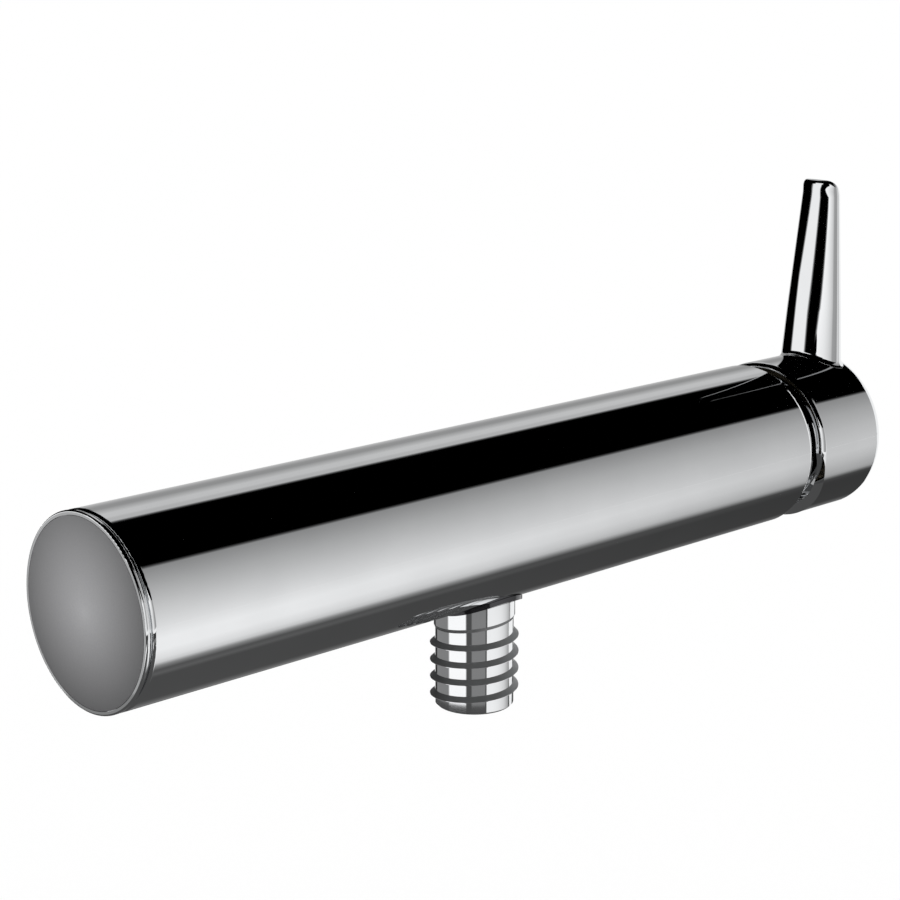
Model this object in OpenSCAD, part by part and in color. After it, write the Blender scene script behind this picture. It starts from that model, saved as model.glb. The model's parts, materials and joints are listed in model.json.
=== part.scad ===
// Wall-mounted single-lever shower mixer in a round body. Millimetres, Z up.
// The origin lies midway between the mouths of the two inlet sockets, in the plane that faces the wall.
// X runs along the body towards the handle and Y points into the wall.
// The shapes are built with X counted from the face of the end plate and with the body's axis at Y = Z = 0,
// and the module placed() shifts them to the origin above.

/* [Body] */
// Outside diameter of the body tube and of the handle ring
body_d = 42; // [41.5:0.5:46]
// Wall of the body tube
tube_wall = 1.6; // [1.2:0.1:1.8]
// Rounding of the tube's edge beside the handle
tube_round = 1.5; // [0.5:0.1:2]
// Rounding of the tube's edge beside the end plate
tube_bevel = 0.8; // [0.3:0.1:1.2]
// Width of the end plate's polished rim
rim_width = 0.9; // [0.6:0.1:2]
// Width of the shadow groove between the end plate and the tube
groove_width = 0.7; // [0.4:0.1:1.5]
// Depth of the shadow groove
groove_depth = 0.9; // [0.4:0.1:1.2]
// Radial width of the polished rim around the satin disc
rim_radial = 1.0; // [0.6:0.1:3]
// Thickness of the satin disc
disc_t = 1.2; // [0.8:0.1:2]
// Length of the end plate's spigot inside the tube
spigot_length = 9; // [8:0.5:14]

/* [Handle] */
// Gap between the tube and the handle ring at rest
handle_gap = 4.2; // [3.6:0.1:6]
// Width of the handle ring
ring_width = 26; // [26:0.5:32]
// Wall of the handle ring
ring_wall = 2.5; // [2:0.1:3]
// Rounding of the ring's free end
ring_end_round = 3; // [1:0.5:5]
// Rounding of the ring's edge beside the tube
ring_rear_round = 1.2; // [0.5:0.1:2]
// How far the ring is cut back underneath, so that it can tilt
relief_depth = 6.5; // [5.5:0.1:8]
// Thickness of the ring's solid end
slab_t = 8.5; // [8:0.1:9]
// Height of the lever's tip above the body's axis
lever_top = 67.5; // [50:0.5:90]
// Lever's section at its foot, along the body
lever_foot_x = 9.8; // [8:0.1:11]
// Lever's section at its foot, across the body
lever_foot_y = 18.6; // [14:0.1:20]
// Lever's section at its tip, along the body
lever_tip_x = 6; // [4.5:0.1:9]
// Lever's section at its tip, across the body
lever_tip_y = 10.6; // [8:0.1:16]
// Blend between the lever's foot and the ring
lever_flare = 1; // [0.8:0.1:4]
// Diameter of the lever's threaded stud
stud_d = 6; // [4:0.5:6]
// How far the lever tilts back, in degrees
lift_angle = 20; // [10:1:20]

/* [Inlets] */
// Distance between the hot and the cold inlet
inlet_spacing = 150; // [130:0.5:180]
// Distance from the tube's edge at the end plate to the hot inlet
hot_end = 31.9; // [28:0.1:60]
// Distance from the body's axis to the socket mouths
wall_distance = 26; // [26:0.5:40]
// Bore of the inlet sockets
socket_bore_d = 20; // [16:0.5:20.5]
// Depth of the inlet sockets
socket_depth = 11; // [8:0.2:11.2]
// Wall of the inlet sockets
socket_wall = 3; // [2.5:0.1:3.2]
// Thickness of the floor of the inlet sockets
socket_floor_t = 1.6; // [1.2:0.1:1.8]
// Diameter of the set screws that hold the wall stubs
set_screw_d = 4; // [3:0.5:5]

/* [Outlet] */
// Outside diameter of the outlet thread, half-inch pipe thread
thread_d = 20.955; // [20.955:0.005:22]
// Distance between the thread's turns, which are plain rings here
thread_pitch = 4.2; // [3:0.1:5]
// Distance from the nipple's lower end to the thread's first turn
thread_start = 3.6; // [2:0.1:5]
// Depth of the thread
thread_depth = 1.16; // [0.8:0.02:1.3]
// Length of the threaded stretch
thread_length = 19; // [16:0.5:24]
// Length of the plain neck above the thread
neck_length = 5.2; // [3:0.1:8]
// Diameter of the saddle collar under the body
collar_d = 22.6; // [21.5:0.2:26]
// Depth of the saddle collar below the tube
collar_t = 1; // [0.4:0.1:3]
// Bore of the outlet nipple, which holds the check valve
nipple_bore_d = 11.6; // [11:0.2:12]
// Travel of the outlet check valve
check_travel = 3; // [2:0.1:3.5]

/* [Cartridge] */
// Diameter of the cartridge body
cartridge_d = 24.8; // [24:0.1:25]
// Distance from the handle's pivot to the tube's edge
pivot_ahead = 3.2; // [3:0.1:4]
// Distance from the handle's pivot to the ball that moves the disc
ball_arm = 8; // [7.5:0.1:8.5]
// Diameter of the spindle
spindle_d = 7; // [6:0.1:7.4]
// Diameter of the pivot pin
pin_d = 3; // [2.5:0.1:3.2]
// Gap between the handle ring's bore and the domed cover
dome_gap = 0.7; // [0.5:0.1:1.5]
// Wall of the domed cover
dome_wall = 1.2; // [0.8:0.1:1.5]
// Thickness of each ceramic disc
ceramic_t = 2.5; // [2:0.1:2.6]
// Outside diameter of the water pipes inside the body
pipe_d = 8; // [7:0.1:8.4]
// Wall of the water pipes
pipe_wall = 1; // [0.6:0.1:1.2]

/* [Hidden] */
$fn = 96;

// Clearances: fixed pieces slipped together, a running fit, moving pieces that stay apart
fit = 0.05;
run = 0.06;
free = 0.3;
over = 1;

body_r = body_d / 2;
bore_r = body_r - tube_wall;
inner_r = bore_r - 4 * fit;
tube_start = rim_width + groove_width;

// Inlets and outlet, and then the cartridge's stack, which sets the length of the tube
hot_x = tube_start + hot_end;
cold_x = hot_x + inlet_spacing;
outlet_x = (hot_x + cold_x) / 2;
socket_spigot_r = 8;
chamber_web = 2.5;
base_gap = 0.3;
base_t = 3;
carrier_floor_t = 0.5;
ball_r = 1.9;
chamber_floor = cold_x + socket_spigot_r + chamber_web;
base_low = chamber_floor + base_gap;
fixed_low = base_low + base_t;
moving_low = fixed_low + ceramic_t;
carrier_low = moving_low + ceramic_t;
ball_x = carrier_low + carrier_floor_t + free + ball_r;
pivot_x = ball_x + ball_arm;
tube_end = pivot_x - pivot_ahead;
tube_length = tube_end - tube_start;

ring_start = tube_end + handle_gap;
ring_end = ring_start + ring_width;
ring_bore_r = body_r - ring_wall;
slab_x = ring_end - slab_t;
lever_outer_x = ring_end - 0.3;
lever_foot_xc = lever_outer_x - lever_foot_x / 2;
lever_tip_xc = lever_outer_x - lever_tip_x / 2;
stud_x = slab_x + slab_t / 2;
stud_length = 10;
handle_screw_r = 2;
handle_screw_l = 6;
plug_r = 2.8;
plug_t = 3;

socket_r = socket_bore_d / 2 + socket_wall;
socket_floor_y = wall_distance - socket_depth;
socket_seat_y = socket_floor_y - socket_floor_t;
socket_spigot_l = 6;
waterway_r = 3.2;
strainer_t = 1.2;
strainer_r = socket_spigot_r - 1;
seal_r = 0.9;
set_screw_y = wall_distance - set_screw_d / 2 - 1.4;
set_screw_l = socket_wall - 0.2;

pipe_r = pipe_d / 2;
hot_pipe_y = -(inner_r - pipe_r - 1.2);
pipe_seat = 5;
block_r = 13;
hot_body_half = 13;
valve_rear = cold_x - socket_spigot_r - 3.5;
valve_front = tube_end - 0.6;

nipple_reach = 6.7;
nipple_top = -(inner_r - nipple_reach);
mixed_pipe_z = nipple_top + pipe_r;
block_top = 6;
spigot_r = 9;
collar_bottom = -(body_r + collar_t);
thread_top = collar_bottom - neck_length;
nipple_bottom = thread_top - thread_length;
crest_r = thread_d / 2;
root_r = crest_r - thread_depth;
neck_r = root_r + 0.35;
ridge_half = 1.1;
crest_half = 0.25;
nipple_bore_r = nipple_bore_d / 2;
check_rise = 7;
check_top = thread_top + check_rise;
seat_r = 3.2;
poppet_r = 3.9;
poppet_t = 1.2;
seat_t = 1.6;
stem_r = 1;
spring_wire = 0.6;
spring_turns = 4;
spring_r = 2.2;
spider_t = 1.4;
spring_spare = 4.4;
check_length = seat_t + poppet_t + check_travel + spring_turns * spring_wire + spring_spare + spider_t;
check_bottom = check_top - check_length;
clip_wire = 1.2;
hex_across = 12;

cart_r = cartridge_d / 2;
chamber_r = cart_r + 4 * fit;
carrier_high = ball_x + ball_r + 0.2;
lift_travel = ball_arm * sin(lift_angle);
moving_z = -lift_travel / 2;
moving_r = 8;
mix_pocket_r = 4.5;
mix_lobe_r = 3;
mix_pocket_t = 1.3;
carrier_half_y = 7.2;
shell_disc_r = cart_r - 1.6;
fixed_disc_r = shell_disc_r - free;
sleeve_r = 9.9;
sleeve_low = carrier_low + free;
sleeve_step = pivot_x - 1;
sleeve_top = pivot_x + 4;
sleeve_neck_r = 8.4;
slot_half_y = spindle_d / 2 + free;
slot_half_z = 6.2;
shell_flange_r = cart_r + 1.5;
shell_flange_x = valve_front - 4.9;
shell_flange_t = 2;
shell_end = pivot_x + 1.5;
mouth_r = shell_flange_r + 0.7;
nut_r = mouth_r - 2 * fit;
dome_r = ring_bore_r - dome_gap;
nut_flange_r = dome_r - dome_wall - 0.4;
nut_top = valve_front + 2.7;
nut_slot_w = 2.4;
nut_slot_t = 1.2;
dome_opening_r = 11;
spindle_end = slab_x + 6;
shank_r = 1.2;
shank_end = ball_arm - 3.4;

in_ports = [[-5, 4.4], [5, 4.4]];
in_port_r = 2.1;
out_port_z = -4.4;
out_port_r = 2.6;
peg_r = 1.1;
peg_z = -7;
peg_y = 7;

module placed() {
  translate([-outlet_x, -wall_distance, 0]) children();
}

// Round bar or hole along X, from x0 to x1
module bar_x(r, x0, x1) {
  translate([x0, 0, 0]) rotate([0, 90, 0]) cylinder(r = r, h = x1 - x0);
}

// Round bar or hole along Y, from y0 to y1
module bar_y(r, y0, y1) {
  translate([0, y0, 0]) rotate([-90, 0, 0]) cylinder(r = r, h = y1 - y0);
}

// Round bar or hole along Z, from z0 to z1
module bar_z(r, z0, z1) {
  translate([0, 0, z0]) cylinder(r = r, h = z1 - z0);
}

// Straight drilling from point p to point q
module drilling(p, q, r) {
  v = q - p;
  translate(p) rotate([0, acos(v.z / norm(v)), atan2(v.y, v.x)]) cylinder(r = r, h = norm(v));
}

// Solid of revolution about X: the children's profile has the radius across and X upward
module turned_x(x0) {
  translate([x0, 0, 0]) rotate([0, 90, 0]) rotate_extrude() children();
}

// Profile of a bar whose two outer edges are rounded
module bar_profile(r, h, low_round, high_round) {
  translate([0, low_round]) square([r, h - low_round - high_round]);
  square([r - low_round, h / 2]);
  translate([0, h / 2]) square([r - high_round, h / 2]);
  translate([r - low_round, low_round]) circle(low_round);
  translate([r - high_round, h - high_round]) circle(high_round);
}

// Ring seal of round section about X
module ring_x(x, r, wire) {
  turned_x(x) translate([r, 0]) circle(wire);
}

// Coil about Z that climbs from z0, with a section given as points [radius, height]
module coil(section, z0, pitch, turns, steps) {
  n = len(section);
  total = round(turns * steps);
  points = [for (i = [0:total], s = section)
    let (a = 360 * i / steps, z = z0 + pitch * i / steps) [s[0] * cos(a), s[0] * sin(a), z + s[1]]];
  sides = [for (i = [0:total - 1], k = [0:n - 1])
    let (a = i * n + k, b = i * n + (k + 1) % n)
    each [[a, a + n, b + n], [a, b + n, b]]];
  first = [for (k = [1:n - 2]) [0, k, k + 1]];
  last = [for (k = [1:n - 2]) [total * n, total * n + k + 1, total * n + k]];
  polyhedron(points, concat(sides, first, last));
}

module ports(x0, x1, grow = 0) {
  for (p = in_ports) translate([0, p[0], p[1]]) bar_x(in_port_r + grow, x0, x1);
  translate([0, 0, out_port_z]) bar_x(out_port_r + grow, x0, x1);
}

// Body and end plate

module body_tube() {
  color("silver") placed() difference() {
    turned_x(tube_start) bar_profile(body_r, tube_length, tube_bevel, tube_round);
    bar_x(bore_r, tube_start - over, tube_end + over);
    for (x = [hot_x, cold_x]) translate([x, 0, 0]) bar_y(socket_r + 4 * fit, 0, body_r + over);
    translate([outlet_x, 0, 0]) bar_z(spigot_r + 2 * fit, -body_r - over, 0);
  }
}

module end_plate() {
  color("silver") placed() difference() {
    union() {
      turned_x(0) bar_profile(body_r, rim_width, 0.4, 0.2);
      bar_x(body_r - groove_depth, rim_width / 2, tube_start);
      bar_x(bore_r - 2 * fit, rim_width / 2, tube_start + spigot_length);
    }
    bar_x(body_r - rim_radial + fit, -over, disc_t + fit);
    bar_x(bore_r - 4, disc_t + 2.2, tube_start + spigot_length + over);
    turned_x(tube_start + spigot_length / 2) translate([bore_r, 0]) square([3, 2.2], center = true);
  }
}

module end_disc() {
  color("darkgray") placed() bar_x(body_r - rim_radial - fit, 0, disc_t);
}

module end_plate_seal() {
  color("black") placed() ring_x(tube_start + spigot_length / 2, bore_r - 0.75, 0.73);
}

// Inlets

module inlet_thread_hole() {
  bar_y(socket_spigot_r + fit, socket_seat_y - socket_spigot_l - 0.6, bore_r + over);
}

module hot_inlet_body() {
  color("goldenrod") placed() difference() {
    intersection() {
      bar_x(inner_r, hot_x - hot_body_half, hot_x + hot_body_half);
      translate([hot_x - body_d, -body_d, -body_d]) cube([2 * body_d, body_d + socket_seat_y, 2 * body_d]);
    }
    translate([hot_x, 0, 0]) inlet_thread_hole();
    translate([hot_x, 0, 0]) bar_y(waterway_r, hot_pipe_y - 2, socket_seat_y);
    translate([0, hot_pipe_y, 0]) bar_x(pipe_r - pipe_wall, hot_x - 2, hot_x + hot_body_half + over);
    translate([0, hot_pipe_y, 0])
      bar_x(pipe_r + fit, hot_x + hot_body_half - pipe_seat, hot_x + hot_body_half + over);
  }
}

module inlet_socket(x) {
  placed() translate([x, 0, 0]) difference() {
    union() {
      bar_y(socket_r, socket_seat_y, wall_distance);
      bar_y(socket_spigot_r, socket_seat_y - socket_spigot_l, socket_seat_y + over);
    }
    bar_y(socket_bore_d / 2, socket_floor_y, wall_distance + over);
    bar_y(strainer_r + fit, socket_floor_y - strainer_t - fit, socket_floor_y + over);
    bar_y(waterway_r + 1, socket_seat_y - socket_spigot_l - over, socket_floor_y + over);
    difference() {
      bar_y(socket_spigot_r + over, socket_seat_y - 2.2, socket_seat_y - 0.2);
      bar_y(socket_spigot_r - 2 * seal_r, socket_seat_y - 3, socket_seat_y);
    }
    translate([0, set_screw_y, 0]) bar_z(set_screw_d / 2 + fit, -socket_r - over, 0);
  }
}

module hot_socket() {
  color("silver") inlet_socket(hot_x);
}

module cold_socket() {
  color("silver") inlet_socket(cold_x);
}

module socket_seals() {
  color("black") placed() for (x = [hot_x, cold_x]) translate([x, socket_seat_y - 1.2, 0])
    rotate([-90, 0, 0]) rotate_extrude() translate([socket_spigot_r - seal_r, 0]) circle(seal_r - 0.03);
}

module socket_set_screws() {
  color("dimgray") placed() for (x = [hot_x, cold_x])
    translate([x, set_screw_y, 0]) difference() {
      bar_z(set_screw_d / 2, -socket_r, -socket_r + set_screw_l);
      translate([0, 0, -socket_r - over]) cylinder(r = set_screw_d / 4, h = over + 1.6, $fn = 6);
    }
}

module strainer(x) {
  placed() translate([x, 0, 0]) difference() {
    bar_y(strainer_r, socket_floor_y - strainer_t, socket_floor_y - fit);
    for (i = [-1:1], k = [-1:1])
      translate([i * 2.2, 0, k * 2.2]) bar_y(0.7, socket_floor_y - strainer_t - over, socket_floor_y + over);
  }
}

module hot_strainer() {
  color("lightgray") strainer(hot_x);
}

module cold_strainer() {
  color("lightgray") strainer(cold_x);
}

// Water pipes inside the body

module hot_pipe() {
  color("peru") placed() translate([0, hot_pipe_y, 0]) difference() {
    bar_x(pipe_r, hot_x + hot_body_half - pipe_seat, valve_rear + pipe_seat);
    bar_x(pipe_r - pipe_wall, hot_x, cold_x);
  }
}

module mixed_pipe() {
  color("peru") placed() translate([0, 0, mixed_pipe_z]) difference() {
    bar_x(pipe_r, outlet_x + block_r - pipe_seat, valve_rear + pipe_seat);
    bar_x(pipe_r - pipe_wall, outlet_x, cold_x);
  }
}

// Outlet

module outlet_block() {
  color("goldenrod") placed() difference() {
    intersection() {
      bar_x(inner_r, outlet_x - block_r - over, outlet_x + block_r + over);
      translate([outlet_x, 0, 0]) bar_z(block_r, -body_r, block_top);
    }
    translate([0, hot_pipe_y, 0])
      bar_x(pipe_r + free, outlet_x - block_r - over, outlet_x + block_r + over);
    translate([outlet_x, 0, 0]) bar_z(spigot_r + fit, -body_r - over, nipple_top + 0.3);
    translate([outlet_x, 0, 0]) bar_z(nipple_bore_r - 1.2, nipple_top - over, mixed_pipe_z + pipe_r + 1.8);
    translate([0, 0, mixed_pipe_z]) bar_x(pipe_r - pipe_wall, outlet_x, outlet_x + block_r + over);
    translate([0, 0, mixed_pipe_z])
      bar_x(pipe_r + fit, outlet_x + block_r - pipe_seat, outlet_x + block_r + over);
  }
}

module outlet_collar() {
  color("silver") placed() translate([outlet_x, 0, 0]) difference() {
    intersection() {
      bar_z(collar_d / 2, collar_bottom - over, -body_r / 2);
      bar_x(body_r + collar_t, -body_d, body_d);
    }
    bar_z(spigot_r + 2 * fit, collar_bottom - 2 * over, 0);
    bar_x(body_r + fit, -body_d, body_d);
  }
}

module outlet_nipple() {
  ridge = [
    [root_r - 0.6, -ridge_half],
    [crest_r, -crest_half],
    [crest_r, crest_half],
    [root_r - 0.6, ridge_half],
  ];
  color("silver") placed() translate([outlet_x, 0, 0]) difference() {
    union() {
      bar_z(spigot_r, collar_bottom - over, nipple_top);
      difference() {
        bar_z(neck_r, thread_top - 1.5, -body_r / 2);
        bar_x(body_r + collar_t + fit, -body_d, body_d);
      }
      bar_z(root_r, nipple_bottom, thread_top);
      for (z = [nipple_bottom + thread_start:thread_pitch:thread_top - ridge_half])
        translate([0, 0, z]) rotate_extrude() polygon(ridge);
    }
    bar_z(nipple_bore_r, nipple_bottom - over, check_top);
    bar_z(nipple_bore_r - 1.2, check_top - over, nipple_top + over);
    translate([0, 0, nipple_bottom - over]) cylinder(d = hex_across * 2 / sqrt(3), h = 5 + over, $fn = 6);
    translate([0, 0, check_bottom - clip_wire]) rotate_extrude()
      translate([nipple_bore_r - over, 0]) square([over + 0.5, clip_wire]);
    translate([0, 0, nipple_top - 2.4]) rotate_extrude()
      translate([spigot_r - 1.4, 0]) square([over + 1.4, 1.8]);
  }
}

module outlet_seal() {
  color("black") placed() translate([outlet_x, 0, nipple_top - 1.5])
    rotate_extrude() translate([spigot_r - 0.7, 0]) circle(0.68);
}

module check_valve_housing() {
  color("whitesmoke") placed() translate([outlet_x, 0, 0]) difference() {
    bar_z(nipple_bore_r - 2 * fit, check_bottom, check_top);
    bar_z(seat_r, check_top - seat_t - over, check_top + over);
    bar_z(poppet_r + free + 0.4, check_bottom + spider_t, check_top - seat_t);
    bar_z(stem_r + run, check_bottom - over, check_top);
    for (a = [0:120:240]) rotate([0, 0, a + 60])
      translate([2.7, 0, 0]) bar_z(1.1, check_bottom - over, check_bottom + spider_t + over);
  }
}

module check_valve_poppet() {
  color("orange") placed() translate([outlet_x, 0, 0]) {
    bar_z(poppet_r, check_top - seat_t - poppet_t, check_top - seat_t);
    bar_z(seat_r - free, check_top - seat_t - 0.1, check_top - seat_t + 0.9);
    bar_z(stem_r, check_bottom + spider_t - 0.9, check_top - seat_t - poppet_t + 0.1);
  }
}

module check_valve_spring() {
  wire = [for (a = [0:60:300]) [spring_r + spring_wire / 2 * cos(a), spring_wire / 2 * sin(a)]];
  spring_low = check_bottom + spider_t + spring_wire / 2 + 0.05;
  spring_high = check_top - seat_t - poppet_t - spring_wire / 2 - 0.05;
  color("gray") placed() translate([outlet_x, 0, 0])
    coil(wire, spring_low, (spring_high - spring_low) / spring_turns, spring_turns, 16);
}

module check_valve_clip() {
  color("gray") placed() translate([outlet_x, 0, check_bottom - clip_wire + 0.1]) difference() {
    rotate_extrude() translate([nipple_bore_r - 1.2, 0]) square([1.6, clip_wire - 0.2]);
    translate([0, -1.5, -over]) cube([2 * nipple_bore_r, 3, clip_wire + 2 * over]);
  }
}

// Valve body and cartridge

module valve_body() {
  hot_end = [cold_x + 2, hot_pipe_y + 1, 0];
  mixed_start = [valve_rear + pipe_seat - 1, 0, mixed_pipe_z];
  color("goldenrod") placed() difference() {
    bar_x(inner_r, valve_rear, valve_front);
    // Flat seat and room for the cold socket
    translate([cold_x, 0, 0]) bar_y(socket_r + 4 * fit, socket_seat_y, body_r);
    translate([cold_x, 0, 0]) inlet_thread_hole();
    // Cold way from the socket to its port
    translate([cold_x, 0, 0]) bar_y(waterway_r, -4, socket_seat_y);
    drilling([cold_x, -2, 0], [chamber_floor + 0.5, in_ports[1][0], in_ports[1][1]], in_port_r);
    // Hot way from its pipe to its port
    translate([0, hot_pipe_y, 0]) bar_x(pipe_r + fit, valve_rear - over, valve_rear + pipe_seat);
    translate([0, hot_pipe_y, 0]) bar_x(pipe_r - pipe_wall, valve_rear, cold_x + 2);
    drilling(hot_end, [chamber_floor + 0.5, in_ports[0][0], in_ports[0][1]], in_port_r);
    // Mixed way from its port to its pipe
    translate([0, 0, mixed_pipe_z]) bar_x(pipe_r + fit, valve_rear - over, valve_rear + pipe_seat);
    drilling(mixed_start, [chamber_floor + 0.5, 0, out_port_z], out_port_r);
    // Cartridge chamber, locating holes and threaded mouth
    bar_x(chamber_r, chamber_floor, valve_front + over);
    for (y = [-peg_y, peg_y]) translate([0, y, peg_z])
      bar_x(peg_r + 2 * fit, chamber_floor - 2.2, chamber_floor + over);
    bar_x(mouth_r, shell_flange_x, valve_front + over);
  }
}

module cartridge_seals() {
  color("black") placed() {
    for (p = in_ports) translate([0, p[0], p[1]]) ring_x(chamber_floor + 0.72, in_port_r + 0.8, 0.7);
    translate([0, 0, out_port_z]) ring_x(chamber_floor + 0.72, out_port_r + 0.8, 0.7);
  }
}

module cartridge_base() {
  color("white") placed() difference() {
    union() {
      bar_x(cart_r, base_low, fixed_low);
      for (y = [-peg_y, peg_y]) translate([0, y, peg_z]) bar_x(peg_r, base_low - 2, base_low + 0.5);
    }
    ports(base_low - over, fixed_low + over);
    ports(base_low - over, base_low + 1.2, 1.55);
  }
}

module fixed_disc() {
  color("snow") placed() difference() {
    bar_x(fixed_disc_r, fixed_low, moving_low);
    ports(fixed_low - over, moving_low + over);
  }
}

module moving_disc() {
  color("ivory") placed() difference() {
    translate([0, 0, moving_z]) bar_x(moving_r, moving_low, carrier_low);
    translate([0, 0, moving_z - 1.3]) bar_x(mix_pocket_r, moving_low - over, moving_low + mix_pocket_t);
    for (y = [-mix_lobe_r, mix_lobe_r]) translate([0, y, moving_z - 0.6])
      bar_x(mix_lobe_r, moving_low - over, moving_low + mix_pocket_t);
  }
}

module disc_carrier() {
  color("lightblue") placed() difference() {
    intersection() {
      translate([0, 0, moving_z]) bar_x(moving_r, carrier_low, carrier_high);
      translate([carrier_low - over, -carrier_half_y, -body_r])
        cube([carrier_high - carrier_low + 2 * over, 2 * carrier_half_y, body_d]);
    }
    bar_x(ball_r + free, carrier_low + carrier_floor_t, carrier_high + over);
  }
}

module cartridge_shell() {
  color("white") placed() difference() {
    union() {
      bar_x(cart_r, fixed_low, shell_end + 1.5);
      bar_x(shell_flange_r, shell_flange_x, shell_flange_x + shell_flange_t);
    }
    bar_x(shell_disc_r, fixed_low - over, carrier_low + 0.2);
    bar_x(sleeve_r + run, carrier_low, sleeve_step + free);
    bar_x(sleeve_neck_r + free, sleeve_step, shell_end + 1.5 + over);
  }
}

module turn_sleeve() {
  color("steelblue") placed() difference() {
    union() {
      bar_x(sleeve_r, sleeve_low, sleeve_step);
      bar_x(sleeve_neck_r, sleeve_step - over, sleeve_top);
    }
    // Room for the carrier, which slides between the two legs
    translate([sleeve_low - over, -carrier_half_y - free, -body_r])
      cube([carrier_high + free - sleeve_low + over, 2 * (carrier_half_y + free), body_d]);
    // Slot in which the spindle tilts
    translate([carrier_high, -slot_half_y, -slot_half_z])
      cube([sleeve_top - carrier_high + over, 2 * slot_half_y, 2 * slot_half_z]);
    translate([pivot_x, 0, 0]) bar_y(pin_d / 2 + 0.01, -sleeve_r, sleeve_r);
  }
}

module pivot_pin() {
  pin_half = sleeve_neck_r - 0.4;
  color("dimgray") placed() translate([pivot_x, 0, 0]) bar_y(pin_d / 2, -pin_half, pin_half);
}

module spindle() {
  color("gray") placed() difference() {
    turned_x(ball_x) {
      intersection() {
        circle(ball_r);
        translate([0, -ball_r]) square([ball_r, 2 * ball_r]);
      }
      polygon([[0, 0], [shank_r, 0], [shank_r, shank_end - 1.6], [spindle_d / 2, shank_end],
        [spindle_d / 2, spindle_end - ball_x], [0, spindle_end - ball_x]]);
    }
    translate([pivot_x, 0, 0]) bar_y(pin_d / 2 + run, -spindle_d, spindle_d);
  }
}

module cartridge_nut() {
  color("darkgoldenrod") placed() difference() {
    union() {
      bar_x(nut_r, shell_flange_x + shell_flange_t, valve_front + 0.5);
      bar_x(nut_flange_r, valve_front, nut_top);
    }
    bar_x(cart_r + 4 * fit, shell_flange_x, nut_top + over);
    for (a = [0:90:270]) rotate([a, 0, 0])
      translate([nut_top - nut_slot_t, cart_r + 1.6, -nut_slot_w / 2])
        cube([over + nut_slot_t, nut_flange_r, nut_slot_w]);
  }
}

module dome_cover() {
  color("silver") placed() difference() {
    union() {
      translate([pivot_x, 0, 0]) sphere(r = dome_r);
      bar_x(dome_r, valve_front, pivot_x);
    }
    translate([pivot_x, 0, 0]) sphere(r = dome_r - dome_wall);
    bar_x(dome_r - dome_wall, valve_front - over, pivot_x);
    translate([valve_front - body_d, -body_d, -body_d]) cube([body_d, 2 * body_d, 2 * body_d]);
    bar_x(dome_opening_r, pivot_x, ring_end);
  }
}

// Handle

module ring_outside() {
  turned_x(ring_start) bar_profile(body_r, ring_width, ring_rear_round, ring_end_round);
}

module handle_ring() {
  color("silver") placed() difference() {
    ring_outside();
    bar_x(ring_bore_r, ring_start - over, slab_x);
    // Cut back underneath
    rotate([90, 0, 0]) linear_extrude(height = 2 * body_d, center = true)
      polygon([[ring_start - over, 0], [ring_start, 0], [ring_start + relief_depth, -body_r],
        [ring_start + relief_depth, -body_d], [ring_start - over, -body_d]]);
    bar_x(spindle_d / 2 + 0.02, slab_x - over, spindle_end + 0.2);
    translate([stud_x, 0, 0]) bar_z(stud_d / 2 + 0.02, body_r - stud_length, body_r + over);
    translate([stud_x, 0, 0]) bar_z(handle_screw_r + 0.02, -body_r - over, -spindle_d / 2 + 0.5);
    translate([stud_x, 0, 0]) bar_z(plug_r + fit, -body_r - over, -body_r + plug_t);
  }
}

// One loop of the lever's surface, in points that pair off left and right at equal y.
// h is the height, flare the blend's width and sag how far the loop follows the ring's round top.
function lever_share(h) = max(0, min(1, (h - body_r) / (lever_top - body_r)));
function corner(h, r) = h > lever_top - r ? r - sqrt(max(0, r * r - pow(h - lever_top + r, 2))) : 0;
function ring_radius(x) = x < ring_end - ring_end_round ? body_r
  : body_r - ring_end_round + sqrt(max(0, pow(ring_end_round, 2) - pow(x - ring_end + ring_end_round, 2)));
function ring_top(x, y) = sqrt(pow(ring_radius(x), 2) - y * y);
function lever_loop(h, flare, sag) = [for (i = [0:lever_sides - 1])
  let (
    a = 360 * (i + 0.5) / lever_sides,
    s = lever_share(h),
    inner = corner(h, 0.8),
    outer = tip_slant * corner(h, tip_round),
    half_x = (lever_foot_x + (lever_tip_x - lever_foot_x) * s - inner - outer) / 2,
    half_y = (lever_foot_y + (lever_tip_y - lever_foot_y) * s) / 2 - corner(h, 2.2),
    xc = lever_foot_xc + (lever_tip_xc - lever_foot_xc) * s + (inner - outer) / 2,
    rx = cos(a) > 0 ? half_x : half_x + flare,
    y = sin(a) * (half_y + flare)
  )
  [xc + cos(a) * rx, y, h - sag * (body_r - ring_top(slab_x, y))]];
lever_sides = 48;
tip_round = 4.4;
tip_slant = 1.1;

// Straight triangles between two rows of equally many points
function strip(a, b) = [for (k = [0:len(a) - 2]) each [[a[k], b[k], b[k + 1]], [a[k], b[k + 1], a[k + 1]]]];

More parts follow.
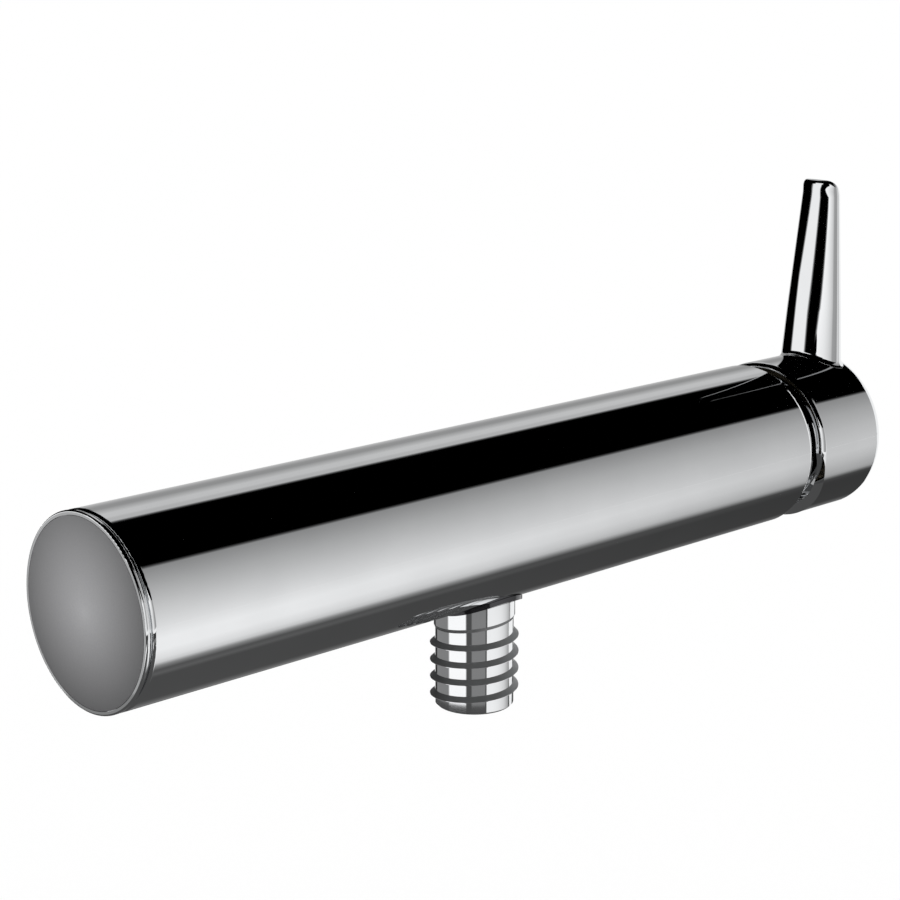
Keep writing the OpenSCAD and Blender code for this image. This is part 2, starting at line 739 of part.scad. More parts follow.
module lever() {
  f = lever_flare;
  blend_top = body_r + f;
  fade = 12;
  n = lever_sides;
  seat = 0.03;
  foot = [for (p = lever_loop(body_r, f, 1)) [p.x, p.y, ring_top(p.x, p.y) + seat]];
  blend = [for (a = [15:15:90])
    lever_loop(blend_top - f * cos(a), f * (1 - sin(a)), 1 - f * (1 - cos(a)) / fade / 2)];
  shaft = [for (i = [1:6])
    lever_loop(blend_top + i * fade / 6, 0, (1 - f / fade / 2) * (1 - i / 6))];
  shaft_top = blend_top + fade;
  upper = [for (i = [1:4]) lever_loop(shaft_top + (lever_top - tip_round - shaft_top) * i / 4, 0, 0)];
  tip = [for (a = [15:15:90]) lever_loop(lever_top - tip_round * (1 - sin(a)), 0, 0)];
  loops = concat([foot], blend, shaft, upper, tip);
  rows = len(loops);
  last = (rows - 1) * n;
  sides = [for (j = [0:rows - 2], i = [0:n - 1])
    let (a = j * n + i, b = j * n + (i + 1) % n)
    each [[a, a + n, b + n], [a, b + n, b]]];
  // Both ends are closed across, between the points of equal y
  right = [for (k = [0:n / 2 - 1]) (k + 3 * n / 4) % n];
  left = [for (k = [0:n / 2 - 1]) 3 * n / 4 - 1 - k];
  share = [0.25, 0.5, 0.7, 0.85, 0.95];
  end = n / 2 - 1;
  seat_points = [for (t = share, k = [1:end - 1])
    let (x = foot[left[k]].x * (1 - t) + foot[right[k]].x * t, y = foot[left[k]].y)
    [x, y, ring_top(x, y) + seat]];
  columns = concat(
    [[for (k = [1:end - 1]) left[k]]],
    [for (j = [0:len(share) - 1]) [for (k = [0:end - 2]) rows * n + j * (end - 1) + k]],
    [[for (k = [1:end - 1]) right[k]]]);
  front_row = [for (c = columns) c[0]];
  rear_row = [for (c = columns) c[end - 2]];
  bottom = concat(
    [for (j = [0:len(share)]) each strip(columns[j], columns[j + 1])],
    [for (j = [0:len(share)]) [left[0], front_row[j + 1], front_row[j]]],
    [[left[0], right[0], right[1]]],
    [for (j = [0:len(share)]) [rear_row[j], rear_row[j + 1], left[end]]],
    [[right[end - 1], right[end], left[end]]]);
  top = [for (t = strip(right, left)) [t[0] + last, t[1] + last, t[2] + last]];
  color("silver") placed() union() {
    polyhedron(concat([for (l = loops, p = l) p], seat_points), concat(sides, bottom, top));
    translate([stud_x, 0, 0]) bar_z(stud_d / 2, body_r - stud_length + 0.5, body_r + 3);
  }
}

module handle_set_screw() {
  color("dimgray") placed() translate([stud_x, 0, 0]) difference() {
    bar_z(handle_screw_r, -spindle_d / 2 - handle_screw_l, -spindle_d / 2 - fit);
    translate([0, 0, -spindle_d / 2 - handle_screw_l - over]) cylinder(r = 1.2, h = over + 2, $fn = 6);
  }
}

module screw_plug() {
  color("silver") placed() intersection() {
    translate([stud_x, 0, 0]) bar_z(plug_r, -body_r, -body_r + plug_t - fit);
    bar_x(body_r, slab_x, ring_end);
  }
}

body_tube();
end_plate();
end_disc();
end_plate_seal();
hot_inlet_body();
hot_socket();
cold_socket();
socket_seals();
socket_set_screws();
hot_strainer();
cold_strainer();
hot_pipe();
mixed_pipe();
outlet_block();
outlet_collar();
outlet_nipple();
outlet_seal();
check_valve_housing();
check_valve_poppet();
check_valve_spring();
check_valve_clip();
valve_body();
cartridge_seals();
cartridge_base();
fixed_disc();
moving_disc();
disc_carrier();
cartridge_shell();
turn_sleeve();
pivot_pin();
spindle();
cartridge_nut();
dome_cover();
handle_ring();
lever();
handle_set_screw();
screw_plug();
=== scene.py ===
"""The looks of a wall-mounted shower mixer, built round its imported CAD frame, in metres."""
import json
import math

import bmesh
import bpy
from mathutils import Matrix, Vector


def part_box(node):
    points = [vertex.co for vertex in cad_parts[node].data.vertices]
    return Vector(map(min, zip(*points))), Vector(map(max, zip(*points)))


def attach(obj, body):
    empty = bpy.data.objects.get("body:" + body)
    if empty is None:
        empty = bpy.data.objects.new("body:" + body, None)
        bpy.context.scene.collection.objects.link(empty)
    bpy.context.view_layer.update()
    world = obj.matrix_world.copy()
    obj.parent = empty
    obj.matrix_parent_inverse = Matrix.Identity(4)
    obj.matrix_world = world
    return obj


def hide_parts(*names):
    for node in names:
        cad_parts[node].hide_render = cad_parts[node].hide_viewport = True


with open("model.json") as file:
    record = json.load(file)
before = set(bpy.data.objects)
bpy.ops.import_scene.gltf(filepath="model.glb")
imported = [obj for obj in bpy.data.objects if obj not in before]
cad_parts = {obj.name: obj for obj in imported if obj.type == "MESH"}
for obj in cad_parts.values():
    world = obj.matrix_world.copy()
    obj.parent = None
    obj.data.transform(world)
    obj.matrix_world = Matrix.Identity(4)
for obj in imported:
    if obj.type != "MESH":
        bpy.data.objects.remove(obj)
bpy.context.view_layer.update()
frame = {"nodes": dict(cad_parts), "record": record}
NODES = frame["nodes"]

MM = 0.001
# How far the body's axis lies in front of the wall's plane, in millimetres, and its place in metres
WALL = 26.0
AXIS_Y = -0.026


def linear(tone):
    """The linear light of a display tone from 0 to 255."""
    s = tone / 255.0
    return s / 12.92 if s <= 0.04045 else ((s + 0.055) / 1.055) ** 2.4


# Materials

# The part of a noise texture's output that colours and roughness are spread over
NOISE_SPAN = (0.3, 0.7)


def node_of(tree, kind, **values):
    """A new shader node with the given settings."""
    node = tree.nodes.new(kind)
    for key, value in values.items():
        setattr(node, key, value)
    return node


def map_range(tree, value, source, target):
    """A socket that gives the value carried from the source range to the target range."""
    span = node_of(tree, "ShaderNodeMapRange")
    for side, (low, high) in (("From", source), ("To", target)):
        span.inputs[side + " Min"].default_value = low
        span.inputs[side + " Max"].default_value = high
    tree.links.new(value, span.inputs["Value"])
    return span.outputs["Result"]


def finish_material(name, low, high, rough, metallic=0.0, scale=900.0, bump=0.0, stretch=(1, 1, 1),
                    fine=None, coat=0.0):
    """A material with mottled colour and roughness and, where bump is given, a fine relief of that height.
    low and high are colours, rough the least and greatest roughness, scale and fine in cells per metre."""
    mat = bpy.data.materials.new(name)
    mat.use_nodes = True
    tree = mat.node_tree
    shader = tree.nodes["Principled BSDF"]
    shader.inputs["Metallic"].default_value = metallic
    shader.inputs["Coat Weight"].default_value = coat
    place = node_of(tree, "ShaderNodeTexCoord")
    shift = node_of(tree, "ShaderNodeMapping")
    shift.inputs["Scale"].default_value = stretch
    tree.links.new(place.outputs["Object"], shift.inputs["Vector"])
    noise = node_of(tree, "ShaderNodeTexNoise")
    noise.inputs["Scale"].default_value = scale
    noise.inputs["Detail"].default_value = 4.0
    tree.links.new(shift.outputs["Vector"], noise.inputs["Vector"])
    ramp = node_of(tree, "ShaderNodeValToRGB")
    for stop, at, colour in zip(ramp.color_ramp.elements, NOISE_SPAN, (low, high)):
        stop.position = at
        stop.color = (*colour, 1)
    tree.links.new(noise.outputs["Fac"], ramp.inputs["Fac"])
    tree.links.new(ramp.outputs["Color"], shader.inputs["Base Color"])
    tree.links.new(map_range(tree, noise.outputs["Fac"], NOISE_SPAN, rough), shader.inputs["Roughness"])
    if bump:
        grain = node_of(tree, "ShaderNodeTexNoise")
        grain.inputs["Scale"].default_value = fine or scale * 3
        grain.inputs["Detail"].default_value = 3.0
        tree.links.new(shift.outputs["Vector"], grain.inputs["Vector"])
        relief = node_of(tree, "ShaderNodeBump")
        relief.inputs["Strength"].default_value = 0.5
        relief.inputs["Distance"].default_value = bump
        tree.links.new(grain.outputs["Fac"], relief.inputs["Height"])
        tree.links.new(relief.outputs["Normal"], shader.inputs["Normal"])
    return mat


def scale_colour(tree, factor):
    """Multiplies a material's colour by what a socket gives."""
    colour = tree.nodes["Principled BSDF"].inputs["Base Color"]
    shade = node_of(tree, "ShaderNodeVectorMath", operation="SCALE")
    tree.links.new(colour.links[0].from_socket, shade.inputs[0])
    tree.links.new(factor, shade.inputs["Scale"])
    tree.links.new(shade.outputs["Vector"], colour)


def paint_highlight_from_middle(mat, middle, reach, inner, outer):
    """Paints a highlight into a material's colour: scales it from inner, on a line along X through middle,
    to outer at reach from it."""
    tree = mat.node_tree
    place = node_of(tree, "ShaderNodeTexCoord")
    away = node_of(tree, "ShaderNodeVectorMath", operation="SUBTRACT")
    away.inputs[1].default_value = middle
    flatten = node_of(tree, "ShaderNodeVectorMath", operation="MULTIPLY")
    flatten.inputs[1].default_value = (0, 1, 1)
    length = node_of(tree, "ShaderNodeVectorMath", operation="LENGTH")
    tree.links.new(place.outputs["Object"], away.inputs[0])
    tree.links.new(away.outputs["Vector"], flatten.inputs[0])
    tree.links.new(flatten.outputs["Vector"], length.inputs[0])
    scale_colour(tree, map_range(tree, length.outputs["Value"], (0.0, reach), (inner, outer)))


def paint_shade_on_faces(mat, mark, share, dull):
    """Paints shade on the faces whose attribute is 1, leaving them a share of a material's colour.
    dull is what their roughness grows by."""
    tree = mat.node_tree
    rough = tree.nodes["Principled BSDF"].inputs["Roughness"]
    marked = node_of(tree, "ShaderNodeAttribute", attribute_name=mark)
    scale_colour(tree, map_range(tree, marked.outputs["Fac"], (0.0, 1.0), (1.0, share)))
    rougher = node_of(tree, "ShaderNodeMath", operation="MULTIPLY_ADD")
    rougher.inputs[1].default_value = dull
    tree.links.new(marked.outputs["Fac"], rougher.inputs[0])
    tree.links.new(rough.links[0].from_socket, rougher.inputs[2])
    tree.links.new(rougher.outputs["Value"], rough)


CHROME_LOOK = {"low": (0.80, 0.81, 0.82), "high": (0.84, 0.85, 0.86), "rough": (0.025, 0.045),
               "metallic": 1.0, "scale": 60.0}
CHROME = finish_material("polished_chrome", **CHROME_LOOK)
SHADED_THREAD_CHROME = finish_material("thread_chrome_painted_shade", **CHROME_LOOK)
# Chrome painted near black: painted shade for the shadow gap where the collar meets the body
COLLAR_SHADE_CHROME = finish_material("chrome_painted_collar_shade", (0.045, 0.045, 0.048), (0.08, 0.08, 0.085), (0.08, 0.14),
                              metallic=1.0, scale=90.0)
SATIN = finish_material("satin_plate", (0.47, 0.47, 0.48), (0.50, 0.50, 0.51), (0.34, 0.40), metallic=1.0,
                        scale=2500.0, bump=2e-6, fine=9000.0)
# The satin plate's colour holds a painted highlight: bright along the axis, darker towards the rim
paint_highlight_from_middle(SATIN, (0, AXIS_Y, 0), reach=0.020, inner=1.85, outer=0.72)
BRASS = finish_material("machined_brass", (0.62, 0.46, 0.20), (0.76, 0.60, 0.30), (0.22, 0.38), metallic=1.0,
                        scale=220.0, bump=1e-5, stretch=(9, 1, 1))
# Brass painted near black: painted shade for the shaded gap behind the handle ring
GAP_SHADE_BRASS = finish_material("brass_painted_gap_shade", (0.05, 0.043, 0.03), (0.09, 0.075, 0.05), (0.5, 0.65),
                             metallic=1.0, scale=700.0, bump=2e-5)
STEEL = finish_material("turned_steel", (0.50, 0.50, 0.51), (0.64, 0.64, 0.65), (0.18, 0.32), metallic=1.0,
                        scale=400.0, bump=6e-6, stretch=(1, 6, 1))
RUBBER = finish_material("black_rubber", (0.018, 0.018, 0.019), (0.035, 0.034, 0.034), (0.55, 0.75),
                         scale=700.0, bump=1.2e-5)
WHITE_PLASTIC = finish_material("white_plastic", (0.74, 0.74, 0.71), (0.82, 0.82, 0.80), (0.38, 0.5),
                                scale=300.0, bump=6e-6, fine=2500.0)
GREY_PLASTIC = finish_material("grey_plastic", (0.26, 0.29, 0.33), (0.33, 0.36, 0.40), (0.38, 0.52),
                               scale=300.0, bump=6e-6, fine=2500.0)
CERAMIC = finish_material("lapped_ceramic", (0.78, 0.77, 0.73), (0.86, 0.85, 0.82), (0.08, 0.16),
                          scale=1200.0, bump=1e-6, coat=0.2)
SLOTS = {"chrome": CHROME, "satin_plate": SATIN, "brass": BRASS, "steel": STEEL, "rubber": RUBBER,
         "white_plastic": WHITE_PLASTIC, "grey_plastic": GREY_PLASTIC, "ceramic": CERAMIC}

# Pieces painted near black as painted shade: the collar under the body for the shadow gap round the nipple,
# and what is seen in the gap behind the ring for the shade in that gap
PAINTED_SHADE_PARTS = {"valve_body": GAP_SHADE_BRASS, "cartridge_nut": GAP_SHADE_BRASS, "outlet_collar": COLLAR_SHADE_CHROME}

for part in frame["record"]["subparts"]:
    node = NODES[part["node"]]
    mat = PAINTED_SHADE_PARTS.get(part["node"], SLOTS[part["material_slot"]])
    if not node.material_slots:
        node.data.materials.append(mat)
    for place in node.material_slots:
        place.material = mat


def mesh_object(name, verts, faces):
    """A mesh in the scene, in metres."""
    mesh = bpy.data.meshes.new(name)
    mesh.from_pydata(verts, [], faces)
    mesh.update()
    obj = bpy.data.objects.new(name, mesh)
    bpy.context.scene.collection.objects.link(obj)
    return obj


def piece(name, verts, faces, mat, body, node, sharp=35.0):
    """A finished piece in millimetres that takes the place of one CAD node.
    Edges that turn by less than sharp degrees are shaded smooth."""
    obj = mesh_object(name, [(x * MM, y * MM, z * MM) for x, y, z in verts], faces)
    mesh = obj.data
    shape = bmesh.new()
    shape.from_mesh(mesh)
    bmesh.ops.recalc_face_normals(shape, faces=shape.faces)
    limit = math.radians(sharp)
    for edge in shape.edges:
        edge.smooth = len(edge.link_faces) != 2 or edge.calc_face_angle() < limit
    shape.to_mesh(mesh)
    shape.free()
    for face in mesh.polygons:
        face.use_smooth = True
    even = obj.modifiers.new("even_normals", "WEIGHTED_NORMAL")
    even.keep_sharp = True
    mesh.materials.append(mat)
    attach(obj, body)
    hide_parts(node)
    return obj


# Lever: an oval that tapers upwards, flared where it meets the ring. Lengths in millimetres.

RING_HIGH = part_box("handle_ring")[1]
LEVER_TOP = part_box("lever")[1][2] / MM
RING_R = RING_HIGH[2] / MM
RING_END = RING_HIGH[0] / MM
RING_ROUND = 3.0
LEVER_OUTER = RING_END - 0.3
# The size of the foot along X and Y, and how much of it the taper takes
FOOT_X, TAPER_X = 9.8, 3.8
FOOT_Y, TAPER_Y = 18.6, 8.0
# The width of the flare, and the height over which the loops above it turn level
FLARE = 1.0
FADE = 12.0
# Roundings of the tip on its outer face, its inner face and its sides, and how much the outer one leans
TIP_ROUND, INNER_ROUND, SIDE_ROUND = 4.4, 0.8, 2.2
TIP_SLANT = 1.1
# The foot's edge stands this much above the ring, reaches this far down into it, and keeps off its end
SEAT_GAP, SKIRT, END_GAP = 0.02, 0.4, 0.01
LEVER_SIDES = 128
ARC_STEPS, FADE_STEPS, BLADE_STEPS = 18, 12, 8


def corner(h, r):
    """How far a rounding of radius r draws the lever in at height h."""
    up = h - LEVER_TOP + r
    return r - math.sqrt(max(0.0, r * r - up * up)) if up > 0 else 0.0


def ring_top(x, y):
    """Height of the ring's surface above its axis."""
    past = x - (RING_END - RING_ROUND)
    r = RING_R if past < 0 else RING_R - RING_ROUND + math.sqrt(max(0.0, RING_ROUND ** 2 - past * past))
    return math.sqrt(r * r - y * y)


def lever_loop(h, flare, sag):
    """One loop of the lever at height h, with the width of its flare there.
    sag is how far it follows the ring's round top, from 0 to 1."""
    share = max(0.0, min(1.0, (h - RING_R) / (LEVER_TOP - RING_R)))
    inner, outer = corner(h, INNER_ROUND), TIP_SLANT * corner(h, TIP_ROUND)
    wide = FOOT_X - TAPER_X * share
    half_x = (wide - inner - outer) / 2
    half_y = (FOOT_Y - TAPER_Y * share) / 2 - corner(h, SIDE_ROUND)
    middle = LEVER_OUTER - wide / 2 + (inner - outer) / 2
    loop = []
    for i in range(LEVER_SIDES):
        a = 2 * math.pi * (i + 0.5) / LEVER_SIDES
        reach = half_x if math.cos(a) > 0 else half_x + flare
        y = math.sin(a) * (half_y + flare)
        drop = sag * (RING_R - math.sqrt(RING_R ** 2 - y * y))
        loop.append((middle + math.cos(a) * reach, y, h - drop))
    return loop


def quarter(step):
    """The angle of one step along a quarter turn."""
    return math.radians(90 * step / ARC_STEPS)


seat = [(x, y, ring_top(min(x, RING_END - END_GAP), y) + SEAT_GAP)
        for x, y, z in lever_loop(RING_R, FLARE, 1)]
loops = [[(x, y, z - SKIRT) for x, y, z in seat], seat]
for step in range(1, ARC_STEPS + 1):
    rise = FLARE * (1 - math.cos(quarter(step)))
    loops.append(lever_loop(RING_R + rise, FLARE * (1 - math.sin(quarter(step))), 1 - rise / FADE / 2))
upper = RING_R + FLARE + FADE
for step in range(1, FADE_STEPS + 1):
    height = RING_R + FLARE + FADE * step / FADE_STEPS
    loops.append(lever_loop(height, 0, (1 - FLARE / FADE / 2) * (1 - step / FADE_STEPS)))
for step in range(1, BLADE_STEPS + 1):
    loops.append(lever_loop(upper + (LEVER_TOP - TIP_ROUND - upper) * step / BLADE_STEPS, 0, 0))
for step in range(1, ARC_STEPS + 1):
    loops.append(lever_loop(LEVER_TOP - TIP_ROUND * (1 - math.sin(quarter(step))), 0, 0))

verts = [(x, y - WALL, z) for loop in loops for x, y, z in loop]
faces = [(j * LEVER_SIDES + i, j * LEVER_SIDES + (i + 1) % LEVER_SIDES,
          (j + 1) * LEVER_SIDES + (i + 1) % LEVER_SIDES, (j + 1) * LEVER_SIDES + i)
         for j in range(len(loops) - 1) for i in range(LEVER_SIDES)]
last = (len(loops) - 1) * LEVER_SIDES
faces.append(tuple(range(last, last + LEVER_SIDES)))
middle = Vector((0, 0, 0))
for v in verts[:LEVER_SIDES]:
    middle += Vector(v) / LEVER_SIDES
verts.append(tuple(middle))
faces += [((i + 1) % LEVER_SIDES, i, len(verts) - 1) for i in range(LEVER_SIDES)]
piece("lever_blade", verts, faces, CHROME, "handle", "lever")


# Nipple: a neck, a right-hand thread and a chamfered lower end, bored through. Lengths in millimetres.

NECK_R, ROOT_R, CREST_R = 9.67, 9.3175, 10.4775
NIPPLE_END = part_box("outlet_nipple")[0][2] / MM
END_CHAMFER = 0.5
THREAD_TOP, THREAD_FOOT = -27.2, NIPPLE_END + END_CHAMFER
SADDLE_R = 0.05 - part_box("outlet_collar")[0][2] / MM
# The part above the neck, which the collar hides
SPIGOT_R, SPIGOT_TOP = 9.0, -15.0
# The neck's lower edge: its height above the thread, how far it leans, and the height of its step
NECK_RISE, NECK_LEAN, NECK_STEP = 1.3, 1.2, 0.9
BORE_R, BORE_MOUTH_R, BORE_CHAMFER, BORE_TOP = 5.8, 6.2, 0.4, -20.2
WATER_WAY_R = 4.6
# The height of a crest at the heading THREAD_FACING, in degrees from +X over +Y
THREAD_PITCH = 4.2
THREAD_PHASE = -42.4
THREAD_FACING = 225.7
# Rows across one turn: height from the crest, share of the thread's depth
TURN = ((-0.8, 0.0), (-0.7, 0.0), (-0.35, 1.0), (-0.25, 1.0), (0.85, 0.0), (0.95, 0.0))
# How far from the lower and from the upper end the thread starts, and the height over which it grows
RUN_IN, RUN_OUT = (0.6, 1.6), (0.4, 1.4)
# Upright parts of a face's normal between which it counts as a flank of the thread, which gets painted shade
FLANK_TILT = (0.25, 0.95)
NIPPLE_SIDES = 240

verts, faces, known = [], [], {}


def spot(i, r, z):
    """Number of the vertex at side i, radius r and height z. The same place gives the same number."""
    i %= NIPPLE_SIDES
    key = (i, round(r, 4), round(z, 4))
    if key not in known:
        known[key] = len(verts)
        a = 2 * math.pi * i / NIPPLE_SIDES
        verts.append((r * math.cos(a), r * math.sin(a) - WALL, z))
    return known[key]


def facet(*corners):
    """A face from vertex numbers, without the ones that fall together."""
    kept = [c for n, c in enumerate(corners) if c != corners[n - 1]]
    if len(kept) > 2:
        faces.append(kept)


def crest_height(i):
    """Height of the helix at side i, which goes on counting beyond one turn."""
    return THREAD_PHASE + THREAD_PITCH * (360.0 * i / NIPPLE_SIDES - THREAD_FACING) / 360.0


def thread_spot(i, row):
    """A vertex of the thread. Beyond the threaded length all rows fall together on its end."""
    step, share = TURN[row % len(TURN)]
    z = crest_height(i + NIPPLE_SIDES * (row // len(TURN))) + step
    z = min(max(z, THREAD_FOOT), THREAD_TOP)
    grown = min(1.0, (z - NIPPLE_END - RUN_IN[0]) / RUN_IN[1], (THREAD_TOP - RUN_OUT[0] - z) / RUN_OUT[1])
    return spot(i, ROOT_R + (CREST_R - ROOT_R) * share * max(0.0, grown), z)


def saddle(i, r):
    """Height of the collar's lower face at side i and radius r."""
    return -math.sqrt(SADDLE_R ** 2 - (r * math.sin(2 * math.pi * i / NIPPLE_SIDES)) ** 2)


def neck_foot(i, r):
    """Height of the neck's lower edge, which leans like the turns below it."""
    lean = NECK_LEAN * math.sin(2 * math.pi * i / NIPPLE_SIDES - math.radians(THREAD_FACING))
    return THREAD_TOP + NECK_RISE + lean + (NECK_STEP if r == NECK_R else 0.0)


def skin(outline):
    """Faces along an outline of (radius, height), from top to bottom outside. A height can be a function."""
    for (r, z), (s, w) in zip(outline, outline[1:]):
        for i in range(NIPPLE_SIDES):
            above = [spot(k, r, z(k, r) if callable(z) else z) for k in (i, i + 1)]
            below = [spot(k, s, w(k, s) if callable(w) else w) for k in (i, i + 1)]
            facet(below[0], below[1], above[1], above[0])


first = 0
while crest_height(first) > THREAD_FOOT - THREAD_PITCH:
    first -= 1
turns = int((THREAD_TOP - THREAD_FOOT) / THREAD_PITCH) + 3
for i in range(first, first + NIPPLE_SIDES):
    for row in range(len(TURN) * turns):
        facet(thread_spot(i, row), thread_spot(i + 1, row),
              thread_spot(i + 1, row + 1), thread_spot(i, row + 1))
skin([(SPIGOT_R, SPIGOT_TOP), (SPIGOT_R, saddle), (NECK_R, saddle), (NECK_R, neck_foot),
      (ROOT_R, neck_foot), (ROOT_R, THREAD_TOP)])
skin([(ROOT_R, THREAD_FOOT), (ROOT_R - END_CHAMFER, NIPPLE_END), (BORE_MOUTH_R, NIPPLE_END),
      (BORE_R, NIPPLE_END + BORE_CHAMFER), (BORE_R, BORE_TOP), (WATER_WAY_R, BORE_TOP),
      (WATER_WAY_R, SPIGOT_TOP), (SPIGOT_R, SPIGOT_TOP)])
# The thread's flanks get painted shade and painted dark reflection: half their colour, under each ridge
paint_shade_on_faces(SHADED_THREAD_CHROME, "flank", share=0.5, dull=0.6)
nipple = piece("threaded_nipple", verts, faces, SHADED_THREAD_CHROME, "body", "outlet_nipple", sharp=20.0)
flank = nipple.data.attributes.new("flank", "FLOAT", "FACE")
for face in nipple.data.polygons:
    flank.data[face.index].value = 1.0 if FLANK_TILT[0] < abs(face.normal.z) < FLANK_TILT[1] else 0.0


# Studio: world, floor and the cards that the chrome mirrors

world = bpy.data.worlds.new("studio")
bpy.context.scene.world = world
world.use_nodes = True
world.node_tree.nodes["Background"].inputs["Color"].default_value = (1, 1, 1, 1)
world.node_tree.nodes["Background"].inputs["Strength"].default_value = 1.0

FLOOR_Z = -0.32
FLOOR_HALF = 60.0
floor = mesh_object("floor", [(x * FLOOR_HALF, y * FLOOR_HALF, FLOOR_Z)
                              for x, y in ((-1, -1), (1, -1), (1, 1), (-1, 1))], [(0, 1, 2, 3)])
floor_mat = bpy.data.materials.new("pale_floor")
floor_mat.use_nodes = True
floor_shader = floor_mat.node_tree.nodes["Principled BSDF"]
floor_shader.inputs["Base Color"].default_value = (1, 1, 1, 1)
floor_shader.inputs["Roughness"].default_value = 1.0
floor_shader.inputs["Specular IOR Level"].default_value = 0.0
floor.data.materials.append(floor_mat)

card_mat = bpy.data.materials.new("studio_card")
card_mat.use_nodes = True
card_tree = card_mat.node_tree
card_tree.nodes.clear()
card_out = node_of(card_tree, "ShaderNodeOutputMaterial")
card_glow = node_of(card_tree, "ShaderNodeEmission")
card_tone = node_of(card_tree, "ShaderNodeAttribute", attribute_name="tone")
card_tree.links.new(card_tone.outputs["Fac"], card_glow.inputs["Strength"])
card_tree.links.new(card_glow.outputs["Emission"], card_out.inputs["Surface"])

# Share of the light that chrome sends back
MIRROR = 0.83


def card(name, rows):
    """A card that only reflections see, from rows of (point, display tone that chrome is to show there)."""
    count = len(rows[0])
    lit = [pair for row in rows for pair in row]
    faces = [(i * count + j, (i + 1) * count + j, (i + 1) * count + j + 1, i * count + j + 1)
             for i in range(len(rows) - 1) for j in range(count - 1)]
    obj = mesh_object(name, [point for point, tone in lit], faces)
    glow = obj.data.attributes.new("tone", "FLOAT", "POINT")
    for i, (point, tone) in enumerate(lit):
        glow.data[i].value = linear(tone) / MIRROR
    obj.data.materials.append(card_mat)
    obj.visible_camera = False
    obj.visible_diffuse = False
    obj.visible_shadow = False
    obj.visible_transmission = False


def blend(stops, at):
    """The value at a place along (place, value) stops."""
    if at <= stops[0][0]:
        return stops[0][1]
    for (a, u), (b, v) in zip(stops, stops[1:]):
        if at <= b:
            return u + (v - u) * (at - a) / (b - a) if b > a else v
    return stops[-1][1]


# Where the photographer stands, and the direction in which they look at the body
EYE = Vector((-0.3414, -0.3756, 0.1344))
LOOK = Vector((0.6706, 0.7030, -0.2368))
LOOK_ROUND = math.degrees(math.atan2(LOOK.z, LOOK.y))
TUBE_R = 0.021
TUBE_ENDS = (-0.107, 0.131)
# Steps of a card along the body, and the share of its length by which it goes past either end of the tube
COLUMNS = 8
PAST_END = 0.25

# Tones round the tube, by direction from +Y over +Z: at the tube's left end, and at its right end
AROUND = [
    (-20, 160, 160), (-10, 190, 190), (14, 140, 140), (22, 140, 140), (38, 187, 187), (46, 187, 187),
    (50, 174, 174), (55, 174, 174), (58, 60, 60), (60, 0, 0), (124, 0, 0), (128, 136, 136),
    (150, 168, 163), (172, 196, 180), (192, 220, 190), (207, 237, 190), (220, 238, 178), (231, 222, 164),
    (236, 200, 160), (240, 130, 150), (246, 80, 64), (251, 92, 52), (256, 72, 52),
    (300, 72, 54), (310, 90, 80), (341, 160, 160),
]
LEFT_TONES = [(a, t) for a, t, u in AROUND]
RIGHT_TONES = [(a, u) for a, t, u in AROUND]


def seen_round(theta, radius):
    """Angle round the body's axis where a ray that the tube mirrors to direction theta meets a card
    of that radius."""
    turn = math.radians((theta + LOOK_ROUND - 180.0) / 2.0)
    y, z = TUBE_R * math.cos(turn), TUBE_R * math.sin(turn)
    if y * LOOK.y + z * LOOK.z > 0:
        y, z = -y, -z
    dy, dz = math.cos(math.radians(theta)), math.sin(math.radians(theta))
    along = y * dy + z * dz
    reach = -along + math.sqrt(along * along + radius * radius - y * y - z * z)
    return math.degrees(math.atan2(z + dz * reach, y + dy * reach))


def landing(radius):
    """Where rays from the tube's two ends meet a card of that radius."""
    side = math.hypot(AXIS_Y - EYE.y, EYE.z)
    return [x + (x - EYE.x) / side * radius for x in TUBE_ENDS]


def arc_card(name, radius, start, end):
    """A card round the body's axis, with the tones from direction start to direction end in whole degrees."""
    x_left, x_right = landing(radius)
    rows = []
    for theta in range(start, end + 1):
        turn = math.radians(seen_round(theta, radius))
        y, z = AXIS_Y + radius * math.cos(turn), radius * math.sin(turn)
        tone_left, tone_right = blend(LEFT_TONES, theta), blend(RIGHT_TONES, theta)
        row = []
        for j in range(COLUMNS + 1):
            share = -PAST_END + (1 + 2 * PAST_END) * j / COLUMNS
            x = x_left + (x_right - x_left) * share
            row.append(((x, y, z), tone_left + (tone_right - tone_left) * min(max(share, 0), 1)))
        rows.append(row)
    card(name, rows)


arc_card("card_over", 1.0, -18, 195)
arc_card("card_under", 0.28, 195, 326)

LEAN_STEPS = 24


def tent_card(name, centre, radius, low, high, stops, upper=None, lean=(0.0, 1.0)):
    """An upright card round the vertical through centre, with tones by heading from +X over +Y.
    Where upper is given, the stops move to its headings between the two heights of lean."""
    heights = [low, high]
    if upper:
        heights[1:1] = [lean[0] + (lean[1] - lean[0]) * k / LEAN_STEPS for k in range(LEAN_STEPS + 1)]
    first, last = stops[0][0], stops[-1][0]
    rows = []
    for i in range(2 * int(last - first) + 1):
        heading = first + i / 2
        turn = math.radians(heading)
        x, y = centre[0] + radius * math.cos(turn), centre[1] + radius * math.sin(turn)
        row = []
        for z in heights:
            share = min(max((z - lean[0]) / (lean[1] - lean[0]), 0), 1)
            here = [(a + (b - a) * share, tone) for (a, tone), b in zip(stops, upper)] if upper else stops
            row.append(((x, y, z), blend(here, heading)))
        rows.append(row)
    card(name, rows)


# Centres and radii of the upright cards round the lever and round the nipple
LEVER_CENTRE, LEVER_RADIUS = (0.12, AXIS_Y), 0.9
NIPPLE_CENTRE, NIPPLE_RADIUS = (0.0, AXIS_Y), 0.6
# The lever's card: its two edges, the heights between which its tones lean, and the roof above it
LEVER_LOW, LEVER_HIGH, LEVER_LEAN, ROOF_Z = -0.17, 0.28, (0.0, 0.11), 1.25
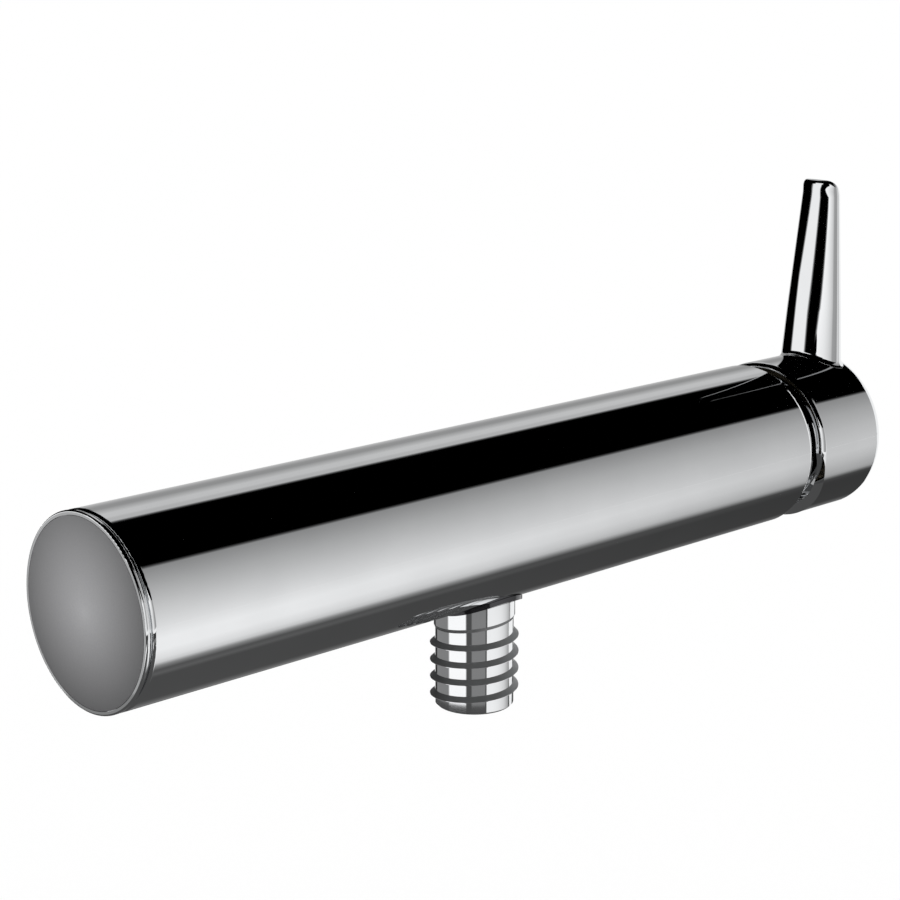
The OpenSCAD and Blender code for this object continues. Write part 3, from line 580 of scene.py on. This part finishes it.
# The cards round the nipple: their lower edges from the foot up, and the upper edge of the highest
FOOT_LOW, NIPPLE_LOW, COLLAR_LOW, RIM_LOW, RIM_HIGH = -0.315, -0.2635, -0.209, -0.15, -0.10
# The tone of the cards under the nipple, and the height of the level one
UNDER_TONE, UNDER_Z = 72, -0.316

LEVER_TONES = [(70, 0), (117, 0), (122, 235), (151, 235), (156, 0), (175, 0), (180, 245), (203, 230),
               (225, 208), (240, 188), (246, 155), (289, 145)]
LEVER_TIP_HEADINGS = [70, 142, 147, 168, 173, 201, 207, 218, 235, 246, 252, 289]
NIPPLE_TONES = [(68, 40), (84, 40), (90, 125), (145, 125), (150, 250), (201, 250), (205, 75), (217, 75),
                (220, 125), (257, 125), (260, 75), (269, 75), (272, 250), (313, 250), (321, 110), (345, 100)]
COLLAR_TONES = [(68, 20), (115, 20), (120, 160), (150, 160), (158, 55), (326, 55)]
RIM_TONES = [(60, 0), (114, 0), (118, 165), (150, 165)]

tent_card("card_lever", LEVER_CENTRE, LEVER_RADIUS, LEVER_LOW, LEVER_HIGH, LEVER_TONES, LEVER_TIP_HEADINGS,
          LEVER_LEAN)
tent_card("card_high", LEVER_CENTRE, LEVER_RADIUS, LEVER_HIGH, ROOF_Z, [(70, 0), (288, 0)])
card("card_roof", [[((-1.0, y, ROOF_Z), 0), ((2.2, y, ROOF_Z), 0)] for y in (-1.2, 1.2)])
for name, low, high, stops in (
        ("card_nipple", NIPPLE_LOW, COLLAR_LOW, NIPPLE_TONES),
        ("card_foot", FOOT_LOW, NIPPLE_LOW, [(68, UNDER_TONE), (345, UNDER_TONE)]),
        ("card_collar", COLLAR_LOW, RIM_LOW, COLLAR_TONES),
        ("card_rim", RIM_LOW, RIM_HIGH, RIM_TONES)):
    tent_card(name, NIPPLE_CENTRE, NIPPLE_RADIUS, low, high, stops)
card("card_low", [[((x, y, UNDER_Z), UNDER_TONE) for y in (-0.6, 0.55)] for x in (-0.6, 0.6)])

camera_data = bpy.data.cameras.new("camera")
camera = bpy.data.objects.new("camera", camera_data)
bpy.context.scene.collection.objects.link(camera)
camera.location = EYE
camera.rotation_euler = (math.radians(76.30), 0, math.radians(-43.65))
camera_data.lens = 87.16
camera_data.sensor_width = 36
camera_data.clip_start = 0.01
bpy.context.scene.camera = camera
bpy.context.scene.view_settings.view_transform = "Standard"

bpy.context.view_layer.update()
